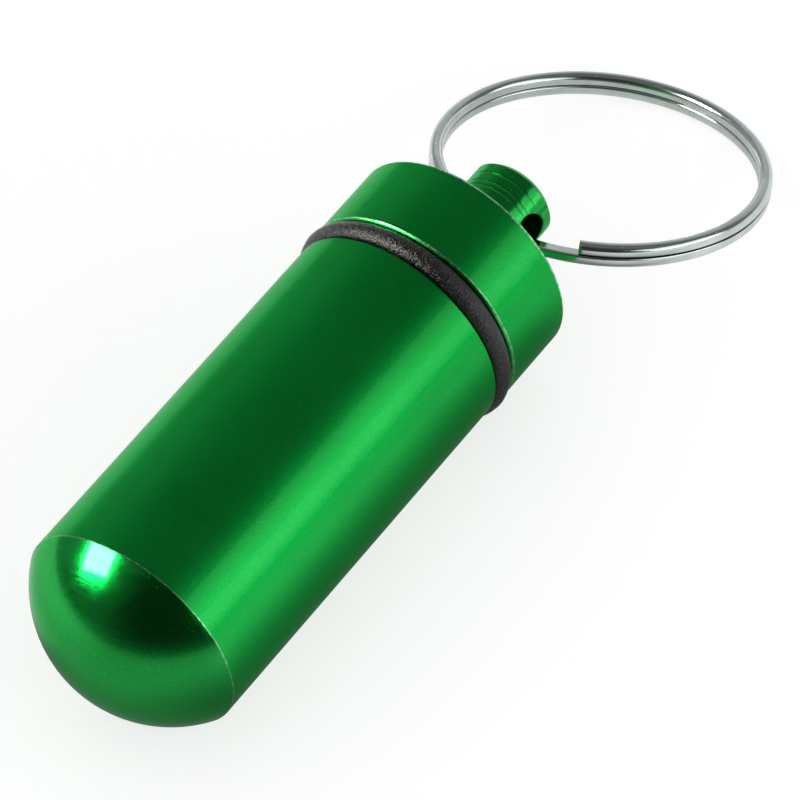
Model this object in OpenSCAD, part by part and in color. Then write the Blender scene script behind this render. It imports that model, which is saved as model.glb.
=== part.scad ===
// Screw-top pill fob on a split ring, lying on its side on a table.
// +X runs along the tube towards the knob, +Z is up, and the table is z = 0.
// The origin is the middle of the footprint, on the table. Lengths are millimetres.

/* [Container] */
// Outer diameter of the tube
tube_d = 17; // [15:0.5:22]
// Length of the straight tube, from the edge of the dome to the rim
tube_len = 31; // [20:0.5:60]
// Height of the domed end
dome_h = 5.1; // [4:0.1:6.5]
// Width of the chamfer round the open rim
rim_chamfer = 0.25; // [0.1:0.05:0.4]
// Wall between the root of the inside thread and the outside of the tube
rim_wall = 1.45; // [1.2:0.05:2]
// Height of the bore's straight wall above the edge of the dome, where its drilled point starts
bore_start = 1.5; // [1:0.5:6]
// Angle of the drilled point at the bottom of the bore
drill_point = 118; // [110:1:150]

/* [Thread] */
// Advance of the thread in one turn
pitch = 1; // [0.75:0.05:1.25]
// Turns of thread that hold the cap
thread_turns = 5; // [3:1:8]
// Height of the thread from root to crest
thread_depth = 0.5; // [0.35:0.05:0.6]
// Width of the cap's thread ridge at its root, as part of the pitch
ridge_root = 0.46; // [0.4:0.02:0.5]
// Width of the cap's thread ridge at its crest, as part of the pitch
ridge_crest = 0.16; // [0.1:0.02:0.24]
// Radial play between the two threads
thread_play = 0.06; // [0.04:0.01:0.1]
// Smooth neck left at each end of the thread
thread_lead = 0.4; // [0.35:0.05:1]
// Length of full-width neck that reaches into the rim
neck_foot = 0.3; // [0.2:0.05:1]

/* [O-ring] */
// Thickness of the rubber cord
seal_cord = 1.85; // [1.6:0.05:2.4]
// Gap between the rim and the cap that holds the O-ring
seal_gap = 1.7; // [1.4:0.05:2]
// Radial play between the O-ring and the neck it sits on
seal_fit = 0.03; // [0.02:0.01:0.1]
// Play between the O-ring and the metal faces on each side of it
seal_side = 0.04; // [0.02:0.01:0.1]

/* [Cap] */
// Height that the cap's wall stands proud of the tube's
cap_proud = 0.15; // [0:0.05:0.5]
// Length of the cap's round body
cap_len = 6.3; // [5:0.1:12]
// Width of the chamfers on the cap's two edges
cap_chamfer = 0.15; // [0.1:0.05:0.6]
// Metal between the cap's top face and the hollow inside it
cap_web = 4.6; // [2:0.1:4.8]
// Wall of the threaded neck, from the thread's root to the hollow
neck_wall = 1.3; // [1:0.05:2]

/* [Knob] */
// Diameter of the knob on the cap
knob_d = 6.5; // [5.5:0.1:9]
// Height of the knob above the cap's top face
knob_len = 6.6; // [6:0.05:9]
// Width of the chamfer on the knob's end
knob_chamfer = 0.4; // [0.1:0.05:0.6]
// Radius of the fillet where the knob meets the cap
knob_fillet = 0.35; // [0.1:0.05:0.6]
// Diameter of the cross hole for the split ring
hole_d = 2.9; // [2.8:0.05:3.2]
// Height of the cross hole's middle above the cap's top face
hole_up = 3.9; // [3.2:0.05:4.2]
// Slope of the cross hole, whose near mouth is the higher one
hole_slope = 3; // [0:0.5:4]
// Distances of the fine turned grooves from the knob's end
groove_at = [1.3, 2.15, 2.6]; // [0.8:0.05:2.8]
// Width of a turned groove
groove_w = 0.16; // [0.08:0.02:0.3]
// Depth of a turned groove
groove_depth = 0.07; // [0.03:0.01:0.12]

/* [Split ring] */
// Outer diameter of the split ring
ring_d = 24.8; // [22:0.1:32]
// Width of the wire, across the ring
wire_w = 0.96; // [0.8:0.02:1]
// Thickness of one turn of the wire
wire_h = 0.88; // [0.7:0.02:0.9]
// Radius of the corners beside the wire's flat face
wire_corner = 0.13; // [0.08:0.01:0.2]
// Gap between the two turns
turn_gap = 0.05; // [0.03:0.01:0.1]
// Length of wire that crosses from one turn to the other, inside the knob
cross_len = 7; // [6:0.1:8]
// Wire left single beside the crossing, before the near cut end
near_single = 3.3; // [1:0.1:6]
// Wire left single beside the crossing, before the far cut end
far_single = 0.9; // [0.5:0.1:3]
// Turn of the ring in its own plane, away from straight ahead
ring_yaw = 6; // [0:0.5:8]
// Distance that the wire lies nearer to the cap than the hole's middle
ring_back = 0.25; // [0:0.05:0.3]
// Distance that the wire lies below the hole's middle
ring_drop = 0.3; // [0:0.05:0.4]

/* [Hidden] */
$fn = 96;
sink = 0.05;
tube_r = tube_d / 2;
cap_r = tube_r + cap_proud;
knob_r = knob_d / 2;

// Radii of the thread, from the tube's wall inwards
nut_root_r = tube_r - rim_wall;
nut_crest_r = nut_root_r - thread_depth;
neck_r = nut_root_r - thread_play;
bolt_root_r = neck_r - thread_depth;
hollow_r = bolt_root_r - neck_wall;

// A thread made of tilted half rings strays from a true helix by 0.053 of its pitch
flank_play = 0.11 * pitch + 0.02;

// Places along the tube's own axis, which starts at the edge of the dome
cap_z = tube_len + seal_gap;
neck_foot_z = tube_len - neck_foot;
thread_z = neck_foot_z - thread_lead - thread_turns * pitch;
neck_tip_z = thread_z - thread_lead;
cap_top_z = cap_z + cap_len;
hollow_top_z = cap_top_z - cap_web;
knob_end_z = cap_top_z + knob_len;
hole_z = cap_top_z + hole_up;

// O-ring
seal_in_r = neck_r + seal_fit;
seal_mid_r = seal_in_r + seal_cord / 2;
seal_out_r = seal_in_r + seal_cord;
seal_w = seal_gap - 2 * seal_side;
axis_h = max(seal_out_r, cap_r, tube_r);

// Split ring: the wire's middle line, and the droop that lets it touch the table
wire_mid_r = (ring_d - wire_w) / 2;
wire_round_h = wire_h - wire_w / 2;
turn_mid = turn_gap / 2 + wire_round_h;
reach = wire_mid_r * (1 + cos(ring_yaw));
fall = axis_h - ring_drop - wire_w / 2;
droop = asin(fall / norm([reach, turn_mid])) - atan(turn_mid / reach);
cross_angle = cross_len / 2 / wire_mid_r * 180 / PI;
near_angle = cross_angle + near_single / wire_mid_r * 180 / PI;
far_angle = cross_angle + far_single / wire_mid_r * 180 / PI;
layer = (wire_h + turn_gap) / 2;
cross_slope = asin(layer / (wire_mid_r * sin(cross_angle)));

// The footprint's middle, measured from the edge of the dome on the tube's axis
ring_mid_x = hole_z - ring_back + wire_mid_r * cos(ring_yaw) * cos(droop);
ring_mid_y = -wire_mid_r * sin(ring_yaw);
far_x = ring_mid_x + wire_mid_r * cos(droop) + turn_mid * sin(droop) + wire_w / 2;
origin_x = (far_x - dome_h) / 2;
origin_y = ring_mid_y;

// Sets a piece turned about +Z down on its side, on the tube's axis
module on_axis() {
  translate([-origin_x, -origin_y, axis_h]) rotate([0, 90, 0]) children();
}

// A short cone or cylinder from z = a to z = b
module turned(a, b, ra, rb) {
  translate([0, 0, a]) cylinder(h = b - a, r1 = ra, r2 = rb);
}

// A cylinder with a chamfer on either end
module chamfered(a, b, r, low, high) {
  rotate_extrude()
    polygon([[0, a], [r - low, a], [r, a + low], [r, b - high], [r - high, b], [0, b]]);
}

// Thread ridge that climbs in half turns from z = a, each one a half ring tilted about X
module thread(a, turns, r_root, r_crest, w_root, w_crest) {
  tilt = asin(pitch / 4 / ((r_root + r_crest) / 2));
  slope = (w_root - w_crest) / (r_crest - r_root);
  deep = 0.15;
  for (k = [0 : 2 * turns - 1]) {
    odd = k % 2 == 1;
    translate([0, 0, a + pitch / 4 + k * pitch / 2])
      rotate([odd ? -tilt : tilt, 0, 0]) rotate([0, 0, odd ? 90 : -90])
      rotate_extrude(angle = 180)
        polygon([
          [r_root - deep, -w_root / 2 - slope * deep / 2], [r_crest, -w_crest / 2],
          [r_crest, w_crest / 2], [r_root - deep, w_root / 2 + slope * deep / 2]
        ]);
  }
}

// Domed aluminium tube with its drilled bore and inside thread
module container() {
  dome_r = (tube_r * tube_r + dome_h * dome_h) / (2 * dome_h);
  point_h = nut_crest_r / tan(drill_point / 2);
  mouth_r = nut_root_r + thread_play;
  color("#0c7d2c") on_axis() difference() {
    union() {
      chamfered(0, tube_len, tube_r, 0, rim_chamfer);
      intersection() {
        translate([0, 0, dome_r - dome_h]) sphere(dome_r);
        turned(-dome_h - sink, sink, tube_r, tube_r);
      }
    }
    turned(bore_start, tube_len + sink, nut_crest_r, nut_crest_r);
    turned(bore_start - point_h, bore_start, 0, nut_crest_r);
    turned(neck_foot_z - thread_lead / 2, tube_len + sink, mouth_r, mouth_r);
    thread(
      thread_z - pitch, thread_turns + 2, nut_crest_r, nut_root_r,
      pitch * ridge_root + 2 * flank_play, pitch * ridge_crest + 2 * flank_play
    );
  }
}

// Black rubber ring, squeezed flat where it meets the rim and the cap
module o_ring() {
  color("#1b1b1b") on_axis() translate([0, 0, tube_len + seal_gap / 2])
    rotate_extrude()
      intersection() {
        translate([seal_mid_r, 0]) circle(d = seal_cord);
        translate([seal_in_r - sink, -seal_w / 2]) square([seal_cord + 2 * sink, seal_w]);
      }
}

// Turned screw cap with its knob, cross hole and hollow threaded neck
module cap() {
  color("#0c7d2c") on_axis() difference() {
    union() {
      chamfered(cap_z, cap_top_z, cap_r, cap_chamfer, cap_chamfer);
      chamfered(cap_top_z - sink, knob_end_z, knob_r, 0, knob_chamfer);
      knob_foot();
      turned(neck_foot_z, cap_z + sink, neck_r, neck_r);
      chamfered(neck_tip_z, neck_foot_z + sink, bolt_root_r, thread_lead / 2, 0);
      thread(
        thread_z, thread_turns, bolt_root_r, neck_r,
        pitch * ridge_root, pitch * ridge_crest
      );
    }
    turned(neck_tip_z - sink, hollow_top_z, hollow_r, hollow_r);
    translate([0, 0, hole_z]) rotate([0, 0, -hole_slope]) rotate([90, 0, 0])
      cylinder(h = 2 * knob_d, d = hole_d, center = true);
    for (down = groove_at) knob_groove(knob_end_z - down);
  }
}

// Hollow fillet round the foot of the knob
module knob_foot() {
  rotate_extrude()
    difference() {
      translate([knob_r - sink, cap_top_z - sink]) square(knob_fillet + sink);
      translate([knob_r + knob_fillet, cap_top_z + knob_fillet]) circle(knob_fillet);
    }
}

// One V-shaped groove round the knob
module knob_groove(z) {
  rotate_extrude()
    polygon([
      [knob_r - groove_depth, z], [knob_r + sink, z - groove_w / 2 - sink],
      [knob_r + sink, z + groove_w / 2 + sink]
    ]);
}

// Half-round section of the wire, lying on its flat face
module wire_section() {
  flat = wire_w - 2 * wire_corner;
  translate([0, wire_round_h]) circle(d = wire_w);
  translate([-wire_w / 2, wire_corner]) square([wire_w, wire_round_h - wire_corner]);
  translate([-flat / 2, 0]) square([flat, wire_round_h]);
  for (side = [-1, 1]) translate([side * flat / 2, wire_corner]) circle(wire_corner);
}

// Part of a flat turn of wire, between two angles
module wire_arc(from, to) {
  rotate([0, 0, from]) rotate_extrude(angle = to - from, convexity = 4)
    translate([wire_mid_r, 0]) children();
}

// Steel wire wound twice, its turns joined by one crossing through the knob
module split_ring() {
  color("#c9ccce")
    translate([hole_z - ring_back - origin_x, -origin_y, axis_h - ring_drop])
    rotate([0, droop, 0]) rotate([0, 0, -ring_yaw])
    translate([wire_mid_r, 0, 0]) rotate([0, 0, 180]) {
      // The hole is at angle 0 here, and angles grow towards the near mouth
      translate([0, 0, turn_gap / 2])
        wire_arc(near_angle, 360 - cross_angle) wire_section();
      translate([0, 0, -turn_gap / 2])
        wire_arc(cross_angle, 360 - far_angle) mirror([0, 1]) wire_section();
      rotate([-cross_slope, 0, 0])
        wire_arc(-cross_angle, cross_angle) circle(d = wire_h);
    }
}

container();
o_ring();
cap();
split_ring();
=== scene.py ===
"""Pill fob keychain: the looks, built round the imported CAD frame.

Shapes are worked out in millimetres, and become meshes in metres. In an outline, z runs along
the tube's axis from the edge between dome and tube, and r is the distance from that axis.
"""

import math
from collections import namedtuple

import bmesh
import bpy
import numpy as np
from mathutils import Matrix, Vector


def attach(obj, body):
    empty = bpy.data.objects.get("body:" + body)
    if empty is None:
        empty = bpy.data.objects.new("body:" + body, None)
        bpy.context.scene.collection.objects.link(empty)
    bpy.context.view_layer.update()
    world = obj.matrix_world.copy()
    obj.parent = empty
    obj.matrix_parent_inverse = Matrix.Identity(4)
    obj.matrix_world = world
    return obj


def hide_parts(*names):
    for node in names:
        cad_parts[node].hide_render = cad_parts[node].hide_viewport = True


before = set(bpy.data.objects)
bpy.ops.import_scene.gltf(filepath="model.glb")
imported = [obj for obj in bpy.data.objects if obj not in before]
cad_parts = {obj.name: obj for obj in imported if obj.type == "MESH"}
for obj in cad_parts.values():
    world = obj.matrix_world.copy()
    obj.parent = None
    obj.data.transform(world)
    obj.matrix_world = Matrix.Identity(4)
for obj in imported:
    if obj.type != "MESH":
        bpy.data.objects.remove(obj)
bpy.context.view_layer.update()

MM = 0.001
FULL_TURN = 2 * math.pi

# ---------------------------------------------------------------- sizes, in millimetres
# These are the CAD source's, apart from the knob's grooves, which are 0.07 deep there
TUBE_R, TUBE_LEN, DOME_H, RIM_CHAMFER = 8.5, 31.0, 5.1, 0.25
BORE_START, POINT_DEPTH, MOUTH_R = 1.5, 3.936, 7.11
NUT_ROOT, NUT_CREST = 7.05, 6.55
NECK_R, BOLT_ROOT, HOLLOW_R = 6.99, 6.49, 5.19
NECK_FOOT_Z, NECK_TIP_Z, HOLLOW_TOP = 30.7, 24.9, 34.4
PITCH, THREAD_Z = 1.0, 25.3
CAP_R, CAP_Z, CAP_TOP, CAP_CHAMFER = 8.65, 32.7, 39.0, 0.15
KNOB_R, KNOB_END, KNOB_CHAMFER, KNOB_FILLET = 3.25, 45.6, 0.4, 0.35
HOLE_R, HOLE_Z, HOLE_SLOPE = 1.45, 42.9, math.radians(3)
GROOVES, GROOVE_W, GROOVE_DEPTH = (1.3, 2.15, 2.6), 0.16, 0.038
SEAL_MID_R, SEAL_R, SEAL_HALF_W, SEAL_Z = 7.945, 0.925, 0.81, 31.85
AXIS_H = 8.87
RING_R, WIRE_W, WIRE_H, WIRE_CORNER, TURN_GAP = 11.92, 0.96, 0.88, 0.13, 0.05
CROSS_LEN, NEAR_SINGLE, FAR_SINGLE = 7.0, 3.3, 0.9
RING_YAW, RING_BACK, RING_DROP = math.radians(6), 0.25, 0.3

# The split ring's droop and the middle of the footprint, worked out as in the CAD source
TURN_MID = TURN_GAP / 2 + WIRE_H - WIRE_W / 2
REACH = RING_R * (1 + math.cos(RING_YAW))
FALL = AXIS_H - RING_DROP - WIRE_W / 2
DROOP = math.asin(FALL / math.hypot(REACH, TURN_MID)) - math.atan(TURN_MID / REACH)
RING_X = HOLE_Z - RING_BACK + RING_R * math.cos(RING_YAW) * math.cos(DROOP)
RING_H = AXIS_H - RING_DROP - RING_R * math.cos(RING_YAW) * math.sin(DROOP)
FAR_X = RING_X + RING_R * math.cos(DROOP) + TURN_MID * math.sin(DROOP) + WIRE_W / 2
ORIGIN_X = (FAR_X - DOME_H) / 2
AXIS_Y = RING_R * math.sin(RING_YAW)
RING_MID = Vector((RING_X - ORIGIN_X, 0, RING_H))
LAYER = (WIRE_H + TURN_GAP) / 2
HOLE_MID = Vector((HOLE_Z - ORIGIN_X, AXIS_Y, AXIS_H))
HOLE_AXIS = Vector((0, math.cos(HOLE_SLOPE), -math.sin(HOLE_SLOPE)))

# A thread's ridge: the stretch it covers, the radius it stands on, its widths and its height
Thread = namedtuple("Thread", "low high base root crest height")
NUT = Thread(24.2, 30.45, NUT_CREST, 0.7, 0.4, NUT_ROOT - NUT_CREST)
BOLT = Thread(25.2, 30.4, BOLT_ROOT, 0.46, 0.16, NECK_R - BOLT_ROOT - 0.01)
# The share of a pitch over which a ridge fades in at its ends, and the rows of points in a pitch
THREAD_FADE, ROWS_PER_PITCH = 0.35, 14

# Numbers of points: round the tube, up the dome, round the hole, round the O-ring and its
# section, round the wire, and along its upper turn, its crossing and its lower turn
AROUND, DOME_ROWS, HOLE_AROUND = 192, 44, 72
SEAL_AROUND, SEAL_SECTION = 256, 48
WIRE_AROUND, UPPER_STEPS, CROSS_STEPS, LOWER_STEPS = 44, 190, 28, 196

# Along the wire: where the upper turn stops lying over the lower one, and where the lower one
# starts to lie under it. Then the way round the wire in its UV map
SEAM_UPPER = FULL_TURN * RING_R - CROSS_LEN - NEAR_SINGLE - FAR_SINGLE
SEAM_LOWER = FULL_TURN * RING_R
WIRE_GIRTH = 3.2


# ---------------------------------------------------------------- mesh helpers
def soften(points, steps=4, most=0.45):
    """Rounds the corners of a (z, r, fillet) outline with arcs, and returns its (z, r) points. A
    fillet takes at most the share most of either side."""
    out = []
    for k, (z, r, fillet) in enumerate(points):
        here = np.array((z, r), float)
        if fillet <= 0 or k in (0, len(points) - 1):
            out.append(here)
            continue
        before = np.array(points[k - 1][:2], float) - here
        after = np.array(points[k + 1][:2], float) - here
        la, lb = np.linalg.norm(before), np.linalg.norm(after)
        before, after = before / la, after / lb
        half = math.acos(max(-1.0, min(1.0, float(before @ after)))) / 2
        cut = min(fillet / math.tan(half), la * most, lb * most)
        radius = cut * math.tan(half)
        inward = (before + after) / np.linalg.norm(before + after)
        middle = here + inward * radius / math.sin(half)
        a, b = here + before * cut - middle, here + after * cut - middle
        start = math.atan2(a[1], a[0])
        turn = (math.atan2(b[1], b[0]) - start + math.pi) % FULL_TURN - math.pi
        for j in range(steps + 1):
            t = start + turn * j / steps
            out.append(middle + radius * np.array((math.cos(t), math.sin(t))))
    return out


def even(points, longest=1.6, near=0.05):
    """Adds points to the long straights of an outline, with one close to either end so that
    shading stays flat there."""
    out = [points[0]]
    for a, b in zip(points, points[1:]):
        length = float(np.linalg.norm(b - a))
        if length > 6 * near:
            count = max(1, math.ceil(length / longest))
            shares = [near / length] + [k / count for k in range(1, count)] + [1 - near / length]
            out += [a + (b - a) * t for t in shares]
        out.append(b)
    return out


def thread_rows(z0, z1, r):
    """The outline of a threaded stretch of radius r, from z0 to z1."""
    count = round(abs(z1 - z0) / PITCH * ROWS_PER_PITCH)
    return [np.array((z0 + (z1 - z0) * k / count, r)) for k in range(count + 1)]


def ridge(u, root, crest):
    """Height of a thread ridge, 0 to 1, at u turns from its middle."""
    off = np.abs((u + 0.5) % 1.0 - 0.5)
    return np.clip((root / 2 - off) / ((root - crest) / 2), 0, 1)


def distances(points):
    """How far along a path each of its points is."""
    return np.concatenate([[0], np.cumsum(np.hypot(*np.diff(points, axis=0).T))])


def mark(outline, z, r):
    """How far along an outline its point nearest to (z, r) is."""
    points = np.array(outline)
    return float(distances(points)[np.argmin(np.hypot(points[:, 0] - z, points[:, 1] - r))])


def off_axis(z, r, t):
    """The point at z along the tube's axis, and r from it in the direction t."""
    return z - ORIGIN_X, AXIS_Y + r * math.cos(t), AXIS_H + r * math.sin(t)


def make_piece(name, verts, faces, uvs=None):
    """A smooth mesh object from points in millimetres, with a UV map in millimetres."""
    mesh = bpy.data.meshes.new(name)
    mesh.from_pydata([tuple(float(x) * MM for x in v) for v in verts], [], faces)
    mesh.update()
    if uvs is not None:
        layer = mesh.uv_layers.new(name="UVMap")
        layer.data.foreach_set("uv", np.array(uvs, np.float32).ravel())
    mesh.polygons.foreach_set("use_smooth", [True] * len(mesh.polygons))
    obj = bpy.data.objects.new(name, mesh)
    bpy.context.scene.collection.objects.link(obj)
    return obj


def face_outwards(mesh):
    """Points a closed mesh's faces outwards."""
    bm = bmesh.new()
    bm.from_mesh(mesh)
    bmesh.ops.recalc_face_normals(bm, faces=bm.faces)
    bm.to_mesh(mesh)
    bm.free()


def lathe(name, outline, thread):
    """Turns an outline of (z, r) points about the tube's axis. Its rows on the thread's radius
    are lifted along a true helix. The UV map runs round the tube and along the outline."""
    zs, rs = np.array(outline).T
    along = distances(outline)
    theta = -math.pi / 2 + np.arange(AROUND) * FULL_TURN / AROUND
    turns = (zs[:, None] - THREAD_Z) / PITCH - theta[None, :] / FULL_TURN
    fade = np.clip(np.minimum(zs - thread.low, thread.high - zs) / (THREAD_FADE * PITCH), 0, 1)
    threaded = (zs > thread.low) & (zs < thread.high) & (np.abs(rs - thread.base) < 0.01)
    lift = (threaded * fade)[:, None] * thread.height * ridge(turns, thread.root, thread.crest)
    radius = rs[:, None] + lift
    verts, index = [], np.zeros((len(zs), AROUND), int)
    for k, (z, r) in enumerate(zip(zs, rs)):
        if r < 1e-6:
            index[k, :] = len(verts)
            verts.append(off_axis(z, 0, 0))
            continue
        index[k, :] = len(verts) + np.arange(AROUND)
        verts += [off_axis(z, radius[k, j], t) for j, t in enumerate(theta)]
    faces, uvs = [], []
    for k in range(len(zs) - 1):
        for j in range(AROUND):
            face = []
            for row, step in ((k, j), (k, j + 1), (k + 1, j + 1), (k + 1, j)):
                v = int(index[row, step % AROUND])
                # On the axis, two corners are one point
                if v not in face:
                    face.append(v)
                    uvs.append((step / AROUND * FULL_TURN * TUBE_R, along[row]))
            faces.append(face)
    return make_piece(name, verts, faces, uvs)


def sleeve(rings, around, lengths, girth, closed=False):
    """Quads between one ring of points and the next, and their UVs: the lengths that the rings
    are at, and the way round."""
    faces, uvs = [], []
    for k in range(rings if closed else rings - 1):
        for j in range(around):
            corners = ((k, j), (k, j + 1), (k + 1, j + 1), (k + 1, j))
            faces.append([a % rings * around + b % around for a, b in corners])
            uvs += [(lengths[a], b / around * girth) for a, b in corners]
    return faces, uvs


def end_faces(rings, around):
    """The two faces that close a sleeve's ends."""
    return [list(range(around))[::-1], [(rings - 1) * around + k for k in range(around)]]


# ---------------------------------------------------------------- container
def build_container():
    """The tube with its dome. Returns the object, its turned edges that catch the light and get a
    painted glint, as (place, half width, strength), and where along the outline the dome ends."""
    dome_r = (TUBE_R**2 + DOME_H**2) / (2 * DOME_H)
    middle = dome_r - DOME_H
    slope = math.asin(TUBE_R / dome_r)
    arc = [
        np.array((middle - dome_r * math.cos(t), dome_r * math.sin(t)))
        for t in [slope * k / DOME_ROWS for k in range(DOME_ROWS)]
    ]
    shoulder = NECK_FOOT_Z - 0.2
    bore_top, bore_bottom = 30.2, 24.0
    wall = soften([
        (*arc[-1], 0), (0, TUBE_R, 0.22),
        (TUBE_LEN - RIM_CHAMFER, TUBE_R, 0.05), (TUBE_LEN, TUBE_R - RIM_CHAMFER, 0.05),
        (TUBE_LEN, MOUTH_R, 0.04), (shoulder, MOUTH_R, 0.02),
        (shoulder, NUT_CREST, 0.02), (bore_top + 0.05, NUT_CREST, 0),
    ])
    bottom = soften([
        (bore_bottom - 0.1, NUT_CREST, 0), (BORE_START, NUT_CREST, 0.3),
        (BORE_START - POINT_DEPTH, 0, 0),
    ])
    bore = thread_rows(bore_top, bore_bottom, NUT_CREST)
    outline = arc[:-1] + even(wall) + bore + even(bottom, 3)
    crease = mark(outline, 0, TUBE_R)
    # How strongly the painted glint, partly worn dye, is drawn on the crease and on the rim
    edges = [(crease, 0.07, 0.5), (mark(outline, TUBE_LEN, TUBE_R - RIM_CHAMFER / 2), 0.1, 0.8)]
    return lathe("container_shell", outline, NUT), edges, crease


# ---------------------------------------------------------------- cap
def groove_outline():
    """The knob's turned grooves, from its end towards the cap, with fillets at lips and floors."""
    points, lip, floor = [], 0.08, 0.05
    for down in GROOVES:
        z = KNOB_END - down
        points += [
            (z + GROOVE_W / 2, KNOB_R, lip), (z, KNOB_R - GROOVE_DEPTH, floor),
            (z - GROOVE_W / 2, KNOB_R, lip),
        ]
    return points


def hole_cutter():
    """A rod along the cross hole that flares where it leaves the knob, which rounds the mouths."""
    lip = 0.09
    # How far each row is inside the knob's wall. The first two are clear of it
    depths = [-0.6, -0.05, 0.007, 0.018, 0.034, 0.058, lip]
    radii = [HOLE_R + 0.7, HOLE_R + lip + 0.02]
    radii += [HOLE_R + lip * (1 - math.sqrt(1 - (1 - d / lip) ** 2)) for d in depths[2:]]
    side = Vector((1, 0, 0))
    up = side.cross(HOLE_AXIS)
    rows = []
    for sign in (-1, 1):
        rings = []
        for depth, radius in zip(depths, radii):
            ring = []
            for j in range(HOLE_AROUND):
                t = FULL_TURN * j / HOLE_AROUND
                across = radius * math.sin(t)
                # Where a line along the hole, across from the knob's axis, meets its wall
                out = math.sqrt(KNOB_R**2 - across**2) - depth
                middle = HOLE_MID + side * (radius * math.cos(t)) + up * across
                ring.append(middle + HOLE_AXIS * (sign * out))
            rings.append(ring)
        rows += rings if sign < 0 else rings[::-1]
    faces, _ = sleeve(len(rows), HOLE_AROUND, range(len(rows)), 1)
    faces += end_faces(len(rows), HOLE_AROUND)
    cutter = make_piece("hole_cutter", [v for ring in rows for v in ring], faces)
    face_outwards(cutter.data)
    return cutter


def clear_hole(mesh):
    """Removes the slivers that the cut can leave across the hole's mouths."""
    bm = bmesh.new()
    bm.from_mesh(mesh)
    stray = []
    for face in bm.faces:
        off = face.calc_center_median() / MM - HOLE_MID
        along = off.dot(HOLE_AXIS)
        if abs(along) < KNOB_R + 0.5 and (off - HOLE_AXIS * along).length < HOLE_R - 0.03:
            stray.append(face)
    bmesh.ops.delete(bm, geom=stray, context="FACES")
    bm.to_mesh(mesh)
    bm.free()


def cut_hole(cap):
    """Cuts the cross hole through the knob."""
    cutter = hole_cutter()
    cut = cap.modifiers.new("hole", "BOOLEAN")
    cut.object, cut.operation, cut.solver = cutter, "DIFFERENCE", "EXACT"
    graph = bpy.context.evaluated_depsgraph_get()
    done = bpy.data.meshes.new_from_object(cap.evaluated_get(graph))
    cap.modifiers.clear()
    old, cap.data = cap.data, done
    bpy.data.meshes.remove(old)
    bpy.data.objects.remove(cutter)
    done.name = cap.name
    clear_hole(done)
    done.polygons.foreach_set("use_smooth", [True] * len(done.polygons))
    done.set_sharp_from_angle(angle=math.radians(50))


def build_cap():
    """The cap with its knob and neck. Returns the object, its turned edges that catch the light
    and get a painted glint, as (place, half width, strength), and where along the outline the knob
    ends."""
    fillet = [
        (CAP_TOP + KNOB_FILLET * (1 - math.cos(t)), KNOB_R + KNOB_FILLET * (1 - math.sin(t)), 0)
        for t in [math.pi / 2 * (1 - k / 6) for k in range(7)]
    ]
    thread_top = 30.3
    top = soften([
        (KNOB_END, 0, 0),
        (KNOB_END, KNOB_R - KNOB_CHAMFER, 0.06), (KNOB_END - KNOB_CHAMFER, KNOB_R, 0.06),
        *groove_outline(), *fillet,
        (CAP_TOP, CAP_R - CAP_CHAMFER, 0.04), (CAP_TOP - CAP_CHAMFER, CAP_R, 0.04),
        (CAP_Z + CAP_CHAMFER, CAP_R, 0.04), (CAP_Z, CAP_R - CAP_CHAMFER, 0.04),
        (CAP_Z, NECK_R, 0.03), (NECK_FOOT_Z, NECK_R, 0.04),
        (NECK_FOOT_Z - 0.25, BOLT_ROOT, 0.04), (thread_top + 0.02, BOLT_ROOT, 0),
    ])
    tip = soften([
        (THREAD_Z - 0.05, BOLT_ROOT, 0), (NECK_TIP_Z + 0.2, BOLT_ROOT, 0.04),
        (NECK_TIP_Z, BOLT_ROOT - 0.2, 0.04), (NECK_TIP_Z, HOLLOW_R, 0.05),
        (HOLLOW_TOP, HOLLOW_R, 0.2), (HOLLOW_TOP, 0, 0),
    ])
    outline = even(top) + thread_rows(thread_top, THREAD_Z, BOLT_ROOT) + even(tip, 3)
    cap = lathe("cap_shell", outline, BOLT)
    face_outwards(cap.data)
    cut_hole(cap)
    rim = CAP_R - CAP_CHAMFER / 2
    # How strongly the painted glint, partly worn dye, is drawn on the cap's top rim, its lower rim
    # and the knob's end
    edges = [
        (mark(outline, CAP_TOP - CAP_CHAMFER / 2, rim), 0.13, 1.0),
        (mark(outline, CAP_Z + CAP_CHAMFER / 2, rim), 0.11, 0.5),
        (mark(outline, KNOB_END - KNOB_CHAMFER, KNOB_R), 0.05, 0.2),
    ]
    return cap, edges, mark(outline, CAP_TOP + KNOB_FILLET, KNOB_R)


# ---------------------------------------------------------------- O-ring
def build_seal():
    """The rubber ring: flat where the metal squeezes it, a little uneven, and with a fine
    moulding line round its outside."""
    wave_h, inset, line_h, line_w = 0.002, 0.018, 0.02, 0.05
    rng = np.random.default_rng(7)
    waves = [(rng.integers(5, 40), rng.uniform(0, 6.28), rng.uniform(0.3, 1)) for _ in range(10)]
    verts = []
    for j in range(SEAL_AROUND):
        t = -math.pi / 2 + FULL_TURN * j / SEAL_AROUND
        swell = sum(high * math.sin(count * t + start) for count, start, high in waves) * wave_h
        for k in range(SEAL_SECTION):
            s = FULL_TURN * k / SEAL_SECTION
            from_line = s if s < math.pi else s - FULL_TURN
            line = line_h * math.exp(-((from_line / line_w) ** 2))
            w = max(-SEAL_HALF_W, min(SEAL_HALF_W, SEAL_R * math.sin(s)))
            r = SEAL_R * math.cos(s) + (swell - inset + line) * max(0.0, math.cos(s))
            verts.append(off_axis(SEAL_Z + w, SEAL_MID_R + r, t))
    lengths = [j / SEAL_AROUND * FULL_TURN * SEAL_MID_R for j in range(SEAL_AROUND + 1)]
    faces, uvs = sleeve(SEAL_AROUND, SEAL_SECTION, lengths, FULL_TURN * SEAL_R, closed=True)
    seal = make_piece("seal_ring", verts, faces, uvs)
    face_outwards(seal.data)
    return seal


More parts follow.
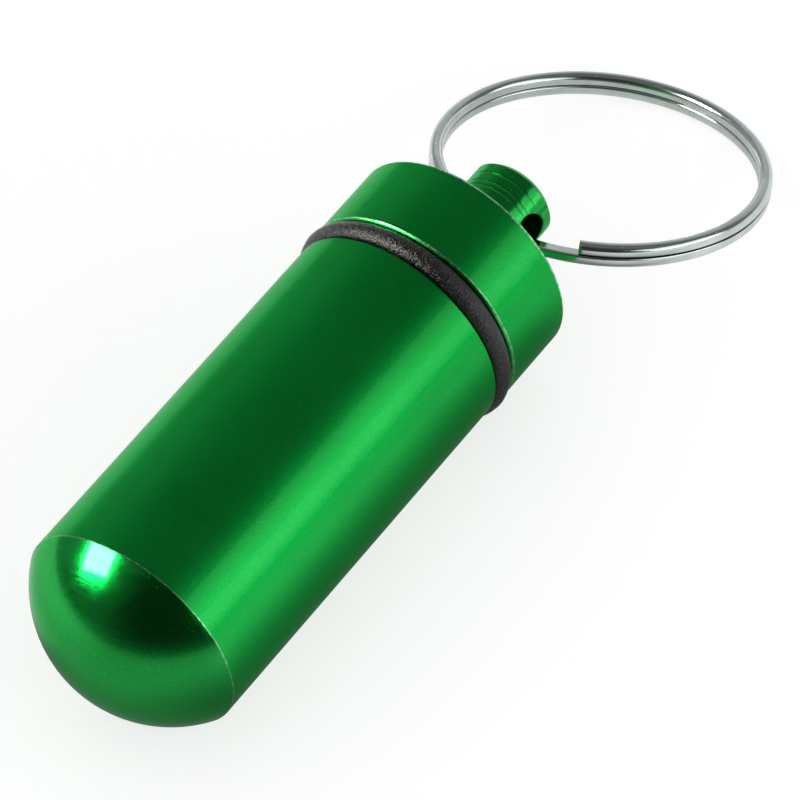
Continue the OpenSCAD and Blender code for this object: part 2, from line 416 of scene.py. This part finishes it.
# ---------------------------------------------------------------- split ring
def wire_section():
    """Half-round section of the wire about its own middle, flat side down, as (across, up)."""
    flat = WIRE_W / 2 - WIRE_CORNER
    round_h = WIRE_H - WIRE_W / 2
    points = [
        (WIRE_W / 2 * math.cos(t), round_h + WIRE_W / 2 * math.sin(t))
        for t in np.linspace(0, math.pi, 25)
    ]
    for side, start in ((-1, math.pi), (1, 1.5 * math.pi)):
        points += [
            (side * flat + WIRE_CORNER * math.cos(t), WIRE_CORNER + WIRE_CORNER * math.sin(t))
            for t in np.linspace(start, start + math.pi / 2, 7)
        ]
    loop = np.array(points + points[:1])
    along = distances(loop)
    places = np.linspace(0, along[-1], 400)
    x = np.interp(places, along, loop[:, 0])
    y = np.interp(places, along, loop[:, 1]) - WIRE_H / 2
    # One point for each direction from the middle, so that all of the wire's sections match
    angles = np.arctan2(y, x)
    order = np.argsort(angles)
    ways = (np.arange(WIRE_AROUND) + 0.5) / WIRE_AROUND * FULL_TURN - math.pi
    radii = np.interp(ways, angles[order], np.hypot(x, y)[order], period=FULL_TURN)
    return np.array([radii * np.cos(ways), radii * np.sin(ways)]).T


def wire_path():
    """The wire's (angle, layer) stations: one turn above, at layer 1, the crossing inside the
    knob, and one turn below, at layer -1."""
    cross = CROSS_LEN / 2 / RING_R
    near, far = cross + NEAR_SINGLE / RING_R, cross + FAR_SINGLE / RING_R
    path = [(a, 1.0) for a in np.linspace(near, FULL_TURN - cross, UPPER_STEPS)]
    # The crossing is partly straight and partly a cosine, so that it starts and ends gently
    curved = 0.35
    for k in range(1, CROSS_STEPS):
        t = k / CROSS_STEPS
        layer = math.cos(math.pi * t) * curved + (1 - 2 * t) * (1 - curved)
        path.append((FULL_TURN - cross + 2 * cross * t, layer))
    ends = FULL_TURN + cross, 2 * FULL_TURN - far
    return path + [(a, -1.0) for a in np.linspace(*ends, LOWER_STEPS)]


def build_ring():
    """One wire that winds once above, drops through the knob and winds once below."""
    up = wire_section()
    down = np.array([up[::-1, 0], -up[::-1, 1]]).T
    plain = up / np.linalg.norm(up, axis=1)[:, None] * WIRE_H / 2
    # How the cut ends are chamfered, inwards and along the wire, out of about half its width
    half = 0.45
    chamfer = ((0.06, 0.0), (0.015, 0.012), (0.0, 0.05))
    along = Vector((math.cos(DROOP), 0, -math.sin(DROOP)))
    across = Vector((0, 1, 0))
    normal = Vector((math.sin(DROOP), 0, math.cos(DROOP)))

    def station(angle, layer, inset=0.0, shift=0.0):
        # The crossing is round, as where a half-round wire is bent over itself
        share = abs(layer)
        section = (1 - share) * plain + share * (up if layer > 0 else down)
        turn = math.pi - RING_YAW + angle + shift / RING_R
        out = along * math.cos(turn) + across * math.sin(turn)
        middle = RING_MID + out * RING_R + normal * (LAYER * layer)
        size = 1 - inset / half
        return [middle + out * (x * size) + normal * (y * size) for x, y in section]

    path = wire_path()
    first, last = path[0], path[-1]
    length = (last[0] - first[0]) * RING_R
    stations = [station(*first, inset, shift) for inset, shift in chamfer]
    stations += [station(*place) for place in path[1:-1]]
    stations += [station(*last, inset, -shift) for inset, shift in chamfer[::-1]]
    lengths = [shift for _, shift in chamfer]
    lengths += [(angle - first[0]) * RING_R for angle, _ in path[1:-1]]
    lengths += [length - shift for _, shift in chamfer[::-1]]
    faces, uvs = sleeve(len(stations), WIRE_AROUND, lengths, WIRE_GIRTH)
    faces += end_faces(len(stations), WIRE_AROUND)
    uvs += [(0, 0)] * 2 * WIRE_AROUND
    ring = make_piece("ring_wire", [v for points in stations for v in points], faces, uvs)
    face_outwards(ring.data)
    ring.data.set_sharp_from_angle(angle=math.radians(60))
    return ring


# ---------------------------------------------------------------- node helpers
class Graph:
    """Short ways to add and link the nodes of one node tree."""

    def __init__(self, tree):
        self.nodes, self.links = tree.nodes, tree.links

    def fill(self, node, inputs):
        """Sets a node's inputs, or links those whose value is another node's output."""
        for key, value in inputs.items():
            if isinstance(value, bpy.types.NodeSocket):
                self.links.new(value, node.inputs[key])
            else:
                node.inputs[key].default_value = value

    def add(self, kind, inputs=None, **settings):
        """Adds a node, and returns its outputs."""
        node = self.nodes.new("ShaderNode" + kind)
        for name, value in settings.items():
            setattr(node, name, value)
        self.fill(node, inputs or {})
        return node.outputs

    def math(self, operation, a, b=0.0):
        return self.add("Math", {0: a, 1: b}, operation=operation)[0]

    def off(self, value, middle):
        """How far value is from middle."""
        return self.math("ABSOLUTE", self.math("SUBTRACT", value, middle))

    def dot(self, vector, direction):
        unit = Vector(direction).normalized()
        return self.add("VectorMath", {0: vector, 1: unit}, operation="DOT_PRODUCT")["Value"]

    def ramp(self, value, low, high, out_low, out_high, kind="LINEAR"):
        """out_low where value is low or less, and out_high where it is high or more."""
        ends = {"From Min": low, "From Max": high, "To Min": out_low, "To Max": out_high}
        return self.add("MapRange", {"Value": value, **ends}, interpolation_type=kind)["Result"]

    def rise(self, *values):
        """A ramp with soft ends."""
        return self.ramp(*values, kind="SMOOTHSTEP")

    def blend(self, share, a, b):
        """The number a where share is 0, and b where it is 1."""
        rest = self.math("MULTIPLY", self.math("SUBTRACT", 1.0, share), a)
        return self.math("ADD", rest, self.math("MULTIPLY", share, b))

    def mix(self, share, a, b):
        """The colour a where share is 0, and b where it is 1."""
        return self.add("Mix", {0: share, 6: a, 7: b}, data_type="RGBA")[2]

    def place(self):
        return self.add("TexCoord")["Object"]

    def uv(self, x=1, y=1):
        """The UV map in millimetres, scaled by x and y."""
        uv_map = self.add("UVMap", uv_map="UVMap")["UV"]
        return self.add("Mapping", {"Vector": uv_map, "Scale": (x, y, 1)})["Vector"]

    def uv_parts(self):
        parts = self.add("SeparateXYZ", {0: self.uv()})
        return parts["X"], parts["Y"]

    def noise(self, vector, scale, detail, roughness=0.5):
        inputs = {"Vector": vector, "Scale": scale, "Detail": detail, "Roughness": roughness}
        return self.add("TexNoise", inputs)["Fac"]

    def bump(self, height, distance, under=None):
        """A normal for height times distance in metres, on top of the bump under it."""
        inputs = {"Strength": 1.0, "Distance": distance, "Height": height}
        if under is not None:
            inputs["Normal"] = under
        return self.add("Bump", inputs)["Normal"]

    def seen(self):
        """1 for camera, glossy and transmission rays, 0 for the others."""
        ray = self.add("LightPath")
        plain = self.math("MAXIMUM", ray["Is Camera Ray"], ray["Is Glossy Ray"])
        return self.math("MAXIMUM", plain, ray["Is Transmission Ray"])


def new_material(name):
    """A material, its graph and its shader node."""
    material = bpy.data.materials.new(name)
    material.use_nodes = True
    tree = material.node_tree
    return material, Graph(tree), tree.nodes["Principled BSDF"]


# ---------------------------------------------------------------- materials
GREEN_DEEP, GREEN_LIGHT = (0.001, 0.385, 0.047, 1), (0.004, 0.49, 0.068, 1)
# The paler edge colour is partly worn dye and partly a painted glint
GREEN_GRAZING, GREEN_WORN_GLINT = (0.45, 0.96, 0.58, 1), (0.62, 0.86, 0.68, 1)
RUBBER_DARK, RUBBER_SPECK = (0.004, 0.0045, 0.0042, 1), (0.05, 0.054, 0.052, 1)
NICKEL_DARK, NICKEL_LIGHT = (0.62, 0.70, 0.665, 1), (0.74, 0.82, 0.785, 1)
# Colour of the painted shade in the ring's seam and on its cut end
SEAM_SHADE_COLOUR = (0.015, 0.018, 0.016, 1)
FLOOR_GREY, WHITE = (0.48, 0.48, 0.48, 1), (1, 1, 1, 1)


def anodised(name, smooth_end, edges):
    """Green anodised aluminium with turning marks and satin grain. The dome or the knob, up to
    smooth_end along the outline, is smoother than the wall. The edges are paler in places,
    partly from worn dye and partly as a painted glint that draws bright lines along them."""
    material, g, shader = new_material(name)
    place = g.place()
    _, along = g.uv_parts()
    on_wall = g.ramp(along, smooth_end - 0.05, smooth_end + 0.05, 0, 1)

    def by_part(smooth, wall):
        return g.ramp(on_wall, 0, 1, smooth, wall)

    # Colour: a deep green dye, a little uneven, and paler on the edges, partly worn dye and partly
    # a painted glint
    cloud = g.noise(place, scale=90, detail=3)
    grain = g.noise(place, scale=8000, detail=3, roughness=0.6)
    uneven = g.math("ADD", g.math("MULTIPLY", cloud, 0.4), g.math("MULTIPLY", grain, 0.6))
    dye = g.mix(g.ramp(uneven, 0.38, 0.62, 0, 1), GREEN_DEEP, GREEN_LIGHT)
    # Paler bands along the turned edges: a painted glint, in part worn dye
    edge = 0.0
    for middle, half, strength in edges:
        band = g.rise(g.off(along, middle), half * 0.4, half, strength, 0.0)
        edge = g.math("MAXIMUM", edge, band)
    # Noise that breaks the painted glint on the edges into beads, as uneven wear would
    worn_glint_beads = g.rise(g.noise(place, scale=2600, detail=3, roughness=0.7), 0.42, 0.58, 0.2, 1.0)
    # Streaks in the roughness and marks in the bump, both from turning and so round the axis
    streaks = g.noise(g.uv(0.12, 9.0), scale=1.0, detail=4, roughness=0.6)
    marks = g.noise(g.uv(0.035, 6.0), scale=1.0, detail=5, roughness=0.7)
    marks = g.math("MULTIPLY", marks, by_part(1.0, 0.25))
    grain = g.math("MULTIPLY", grain, by_part(0.12, 1.0))
    streaks = g.ramp(streaks, 0.3, 0.7, -0.03, 0.03)
    g.fill(shader, {
        "Base Color": g.mix(g.math("MULTIPLY", edge, worn_glint_beads), dye, GREEN_WORN_GLINT),
        "Metallic": 1.0,
        "Roughness": g.math("ADD", by_part(0.18, 0.33), streaks),
        "Normal": g.bump(grain, 1.2e-5, g.bump(marks, 1.3e-5)),
        "Specular Tint": GREEN_GRAZING,
        "Coat Weight": by_part(0.4, 0.22),
        "Coat Roughness": 0.1,
        "Coat IOR": 1.55,
    })
    return material


def rubber():
    """Black rubber with pale specks, which are glossier, and a pitted surface."""
    material, g, shader = new_material("black_rubber")
    place = g.place()
    speck = g.noise(place, scale=5200, detail=3, roughness=0.7)
    pits = g.noise(place, scale=1900, detail=3, roughness=0.6)
    g.fill(shader, {
        "Base Color": g.mix(g.ramp(speck, 0.52, 0.74, 0, 1), RUBBER_DARK, RUBBER_SPECK),
        "Roughness": g.ramp(speck, 0.4, 0.62, 0.3, 0.1),
        "Specular IOR Level": 0.6,
        "Normal": g.bump(speck, 0.8e-4, g.bump(pits, 0.8e-4)),
    })
    return material


def nickel():
    """Nickel plate with fine drawing marks, and painted shade in the seam between the two turns
    and on the cut end where the wire starts. The UV map runs along the wire and round it."""
    material, g, shader = new_material("nickel_plate")
    along, round_it = g.uv_parts()

    def on_side(middle):
        """1 on one side of the wire, given by its middle on the way round."""
        return g.rise(g.off(round_it, middle), 0.34, 0.43, 1.0, 0.0)

    # Painted shade on the sides that face each other across the seam, and where the wire is cut
    over_seam = g.rise(along, SEAM_UPPER - 0.3, SEAM_UPPER, 1.0, 0.0)
    under_seam = g.rise(along, SEAM_LOWER, SEAM_LOWER + 0.3, 0.0, 1.0)
    upper = g.math("MULTIPLY", on_side(0.86), over_seam)
    lower = g.math("MULTIPLY", on_side(2.34), under_seam)
    cut_end = g.rise(along, 0.02, 0.08, 0.75, 0.0)
    painted_shade = g.math("MAXIMUM", cut_end, g.math("MAXIMUM", upper, lower))
    cloud = g.noise(g.place(), scale=400, detail=3)
    plate = g.mix(g.ramp(cloud, 0.35, 0.65, 0, 1), NICKEL_DARK, NICKEL_LIGHT)
    drawn = g.noise(g.uv(0.35, 9.0), scale=1.0, detail=4, roughness=0.6)
    g.fill(shader, {
        "Base Color": g.mix(painted_shade, plate, SEAM_SHADE_COLOUR),
        "Metallic": 1.0,
        "Roughness": g.ramp(drawn, 0.3, 0.7, 0.12, 0.19),
        "Normal": g.bump(drawn, 2.0e-6),
    })
    return material


# ---------------------------------------------------------------- studio
# The sheets are so large that no view shows their ends
FLOOR_HALF, CEILING_R, CARD_HALF, CARD_H = 4000, 1800, 1900, 0.03
WORLD_LIGHT, FLOOR_GLOW = 0.55, 0.715


def towards(azimuth, elevation):
    """Unit vector from the object in a direction given in degrees."""
    a, e = math.radians(azimuth), math.radians(elevation)
    return Vector((math.cos(e) * math.cos(a), math.cos(e) * math.sin(a), math.sin(e)))


def sheet(name, middle, side, rise):
    """A flat rectangle whose half sides are the vectors side and rise."""
    signs = ((-1, -1), (1, -1), (1, 1), (-1, 1))
    return make_piece(name, [middle + side * x + rise * y for x, y in signs], [(0, 1, 2, 3)])


def level_sheet(name, half, height):
    return sheet(name, Vector((0, 0, height)), Vector((half, 0, 0)), Vector((0, half, 0)))


def build_camera():
    """The photograph's camera, fitted to the edges and circles of the fob."""
    data = bpy.data.cameras.new("camera")
    data.sensor_width, data.lens = 36.0, 264.2026
    data.clip_start, data.clip_end = 0.02, 20
    camera = bpy.data.objects.new("camera", data)
    right = Vector((0.575403, -0.809496, -0.116737))
    up = Vector((0.657316, 0.37278, 0.654959))
    back = Vector((-0.48667, -0.453598, 0.746593))
    turn = Matrix((right, up, back)).transposed().to_4x4()
    camera.matrix_world = Matrix.Translation((-0.2016411, -0.1863963, 0.3111702)) @ turn
    bpy.context.scene.collection.objects.link(camera)
    bpy.context.scene.camera = camera


def build_world():
    """A soft even light, which the camera and reflections see as white."""
    world = bpy.data.worlds.new("studio")
    bpy.context.scene.world = world
    world.use_nodes = True
    g = Graph(world.node_tree)
    strength = g.ramp(g.seen(), 0, 1, WORLD_LIGHT, 1.0)
    g.fill(world.node_tree.nodes["Background"], {"Color": WHITE, "Strength": strength})
    world.cycles.sampling_method = "NONE"


def build_floor():
    floor = level_sheet("floor", FLOOR_HALF, 0)
    material, g, shader = new_material("pale_floor")
    g.fill(shader, {
        "Base Color": FLOOR_GREY,
        "Roughness": 0.9,
        "Specular IOR Level": 0.0,
        "Emission Color": WHITE,
        "Emission Strength": g.ramp(g.seen(), 0, 1, 0.0, FLOOR_GLOW),
    })
    material.cycles.emission_sampling = "NONE"
    floor.data.materials.append(material)


def reflected_only(obj, level, tint=WHITE):
    """Makes a studio card that only reflections see. level is how bright it is, or works that
    out from a graph and the position in metres."""
    material, g, shader = new_material(obj.name)
    g.nodes.remove(shader)
    if callable(level):
        level = level(g, g.add("NewGeometry")["Position"])
    glow = g.add("Emission", {"Color": tint, "Strength": level})
    g.fill(g.nodes["Material Output"], {"Surface": glow[0]})
    material.cycles.emission_sampling = "NONE"
    obj.data.materials.append(material)
    obj.visible_camera = obj.visible_diffuse = obj.visible_shadow = False


def ceiling_level(g, position):
    """Dark, a little brighter low on the side away from the key lamp and past the knob, and
    darkest low behind the camera."""
    way = g.add("VectorMath", {0: position}, operation="NORMALIZE")["Vector"]
    level = g.rise(g.dot(way, (0.3, 0.95, 0.05)), 0.55, 1.0, 0.14, 0.3)
    past_knob = g.rise(g.dot(way, (0.93, 0.3, 0.2)), 0.72, 1.0, 0.0, 0.32)
    behind_camera = g.rise(g.dot(way, (-0.72, -0.62, 0.3)), 0.45, 0.9, 1.0, 0.22)
    return g.math("MULTIPLY", g.math("ADD", level, past_knob), behind_camera)


def floor_card_level(g, position):
    """Dark beside the tube, as a painted shadow of it, brighter towards the key lamp, on the other
    side, past the dome and round the split ring, darker inside and under the split ring as a
    painted shadow, and dark again far off behind the camera."""
    x, y = g.dot(position, (1, 0, 0)), g.dot(position, (0, 1, 0))
    # Painted shadow of the tube beside it, lifting towards the key lamp
    side = g.rise(y, -0.042, -0.006, 1.02, 0.19)
    for low, high, more in ((0.006, 0.06, 0.16), (0.0115, 0.019, 0.45)):
        side = g.math("ADD", side, g.rise(y, low, high, 0.0, more))
    past_dome = g.rise(y, 0.0, 0.06, 0.5, 0.82)
    level = g.blend(g.rise(x, -0.048, -0.03, 1.0, 0.0), side, past_dome)
    squares = [g.math("POWER", g.off(value, mid), 2.0) for value, mid in ((x, 0.0235), (y, 0.0))]
    # Painted shadow inside and under the split ring, lighter farther out
    by_ring = g.rise(g.math("SQRT", g.math("ADD", *squares)), 0.008, 0.016, 0.55, 0.8)
    level = g.blend(g.rise(x, 0.01, 0.02, 0.0, 1.0), level, by_ring)
    behind_camera = g.rise(g.dot(position, (-0.72, -0.69, 0)), 0.07, 0.12, 1.0, 0.16)
    return g.math("MULTIPLY", level, behind_camera)


def build_cards():
    """A dark studio ceiling and a shaded card on the floor, seen only by reflections."""
    rings, around = 24, 48
    verts, faces = [(0, 0, CEILING_R)], []
    for k in range(1, rings + 1):
        elevation = 90 * (1 - k / rings)
        verts += [towards(360 * j / around, elevation) * CEILING_R for j in range(around)]
    for j in range(around):
        n = (j + 1) % around
        faces.append([0, 1 + j, 1 + n])
        for k in range(rings - 1):
            a, b = 1 + k * around, 1 + (k + 1) * around
            faces.append([a + j, b + j, b + n, a + n])
    reflected_only(make_piece("ceiling", verts, faces), ceiling_level)
    reflected_only(level_sheet("floor_card", CARD_HALF, CARD_H), floor_card_level)


def build_back_card():
    """A bright, slightly warm sheet behind the dome, turned in its own plane."""
    away = towards(132, 40)
    flat = Vector((-away.y, away.x, 0)).normalized()
    over, turn = away.cross(flat), math.radians(40)
    side = flat * math.cos(turn) + over * math.sin(turn)
    rise = over * math.cos(turn) - flat * math.sin(turn)
    card = sheet("back_card", away * 600, side * 128, rise * 106)
    reflected_only(card, 25.0, tint=(1, 0.97, 0.88, 1))


def softbox(name, azimuth, elevation, distance, width, height, level):
    """A rectangular lamp that faces the object, whose surface is as bright as level."""
    light = bpy.data.lights.new(name, "AREA")
    light.shape = "RECTANGLE"
    light.size, light.size_y = width, height
    light.energy = level * math.pi * width * height
    obj = bpy.data.objects.new(name, light)
    away = towards(azimuth, elevation)
    facing = away.to_track_quat("Z", "Y").to_matrix().to_4x4()
    obj.matrix_world = Matrix.Translation(away * distance) @ facing
    obj.visible_camera = False
    bpy.context.scene.collection.objects.link(obj)


build_camera()
build_world()
build_floor()
build_cards()
softbox("key", azimuth=-82, elevation=20, distance=0.55, width=0.62, height=0.35, level=1.1)
softbox("key_core", azimuth=-80, elevation=13, distance=0.54, width=0.5, height=0.11, level=0.9)
build_back_card()

tube, tube_edges, dome_end = build_container()
cap, cap_edges, knob_end = build_cap()
pieces = [
    (tube, "tube", "container", "green_tube",
     anodised("green_anodised_tube", dome_end, tube_edges)),
    (cap, "lid", "cap", "green_cap", anodised("green_anodised_cap", knob_end, cap_edges)),
    (build_seal(), "seal", "o_ring", "seal_rubber", rubber()),
    (build_ring(), "ring", "split_ring", "ring_steel", nickel()),
]
for piece, body, node, slot, material in pieces:
    piece.data.materials.clear()
    piece.data.materials.append(material)
    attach(piece, body)
    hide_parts(node)

bpy.context.scene.view_settings.view_transform = "Standard"
